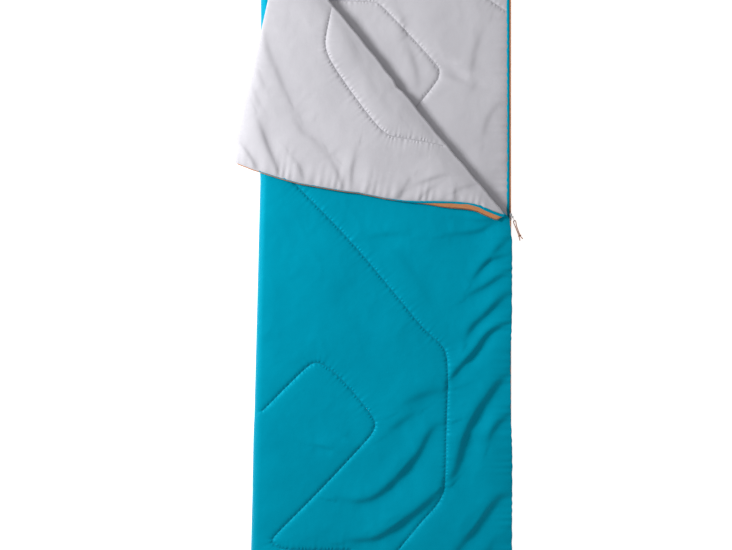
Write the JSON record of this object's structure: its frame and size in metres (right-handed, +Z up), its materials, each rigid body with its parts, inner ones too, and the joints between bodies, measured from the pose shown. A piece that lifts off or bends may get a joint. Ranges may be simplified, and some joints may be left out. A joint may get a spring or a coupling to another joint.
{
  "type": "rectangular sleeping bag",
  "caption": "Quilted rectangular sleeping bag with a side and foot zip, its front layer hinged along one side and its top corner folded open.",
  "frame": {"origin": "centre of the underside of the back layer, on the surface that the bag rests on", "axes": "+Z up, +Y from the foot to the head, +X to the zip side"},
  "size_m": [0.8278, 1.9072, 0.061],
  "materials": {
    "shell_cloth": "satin",
    "lining_cloth": "matte",
    "batting": "matte",
    "zip_tape": "matte",
    "zip_coil": "satin",
    "zip_metal": "satin",
    "pull_cord": "matte"
  },
  "bodies": {
    "back": {"back_shell": "shell_cloth", "back_batting": "batting", "back_lining": "lining_cloth", "back_left_fold": "shell_cloth", "back_zip_tape": "zip_tape", "back_zip_coil": "zip_coil", "back_top_stop": "zip_metal", "zip_bottom_stop": "zip_metal"},
    "front": {"front_shell": "shell_cloth", "front_batting": "batting", "front_lining": "lining_cloth", "front_left_fold": "shell_cloth", "front_zip_tape": "zip_tape", "front_zip_coil": "zip_coil"},
    "flap": {"flap_shell": "shell_cloth", "flap_batting": "batting", "flap_lining": "lining_cloth", "flap_zip_tape": "zip_tape", "flap_zip_coil": "zip_coil", "flap_top_stop": "zip_metal"},
    "slider": {"slider_body": "zip_metal", "slider_pin": "zip_metal"},
    "pull": {"pull_tab": "zip_metal", "pull_cord_a": "pull_cord", "pull_cord_b": "pull_cord", "pull_knot": "pull_cord"}
  },
  "joints": [
    {"name": "front_open", "type": "hinge", "parent": "back", "child": "front", "pos_m": [-0.36, 0, 0.0205], "axis": [0, -1, 0], "range_deg": [0, 180]},
    {"name": "flap_fold", "type": "hinge", "parent": "front", "child": "flap", "pos_m": [0.36, 0.147, 0.0413], "axis": [-0.6315, 0.7754, 0], "range_deg": [0, 180]},
    {"name": "zip_slide", "type": "slide", "parent": "back", "child": "slider", "axis": [0, 1, 0], "range_m": [-1.02, 0.78]},
    {"name": "pull_swing", "type": "hinge", "parent": "slider", "child": "pull", "pos_m": [0.3714, 0.1462, 0.0205], "axis": [0, 0, 1], "range_deg": [-10, 140]}
  ]
}
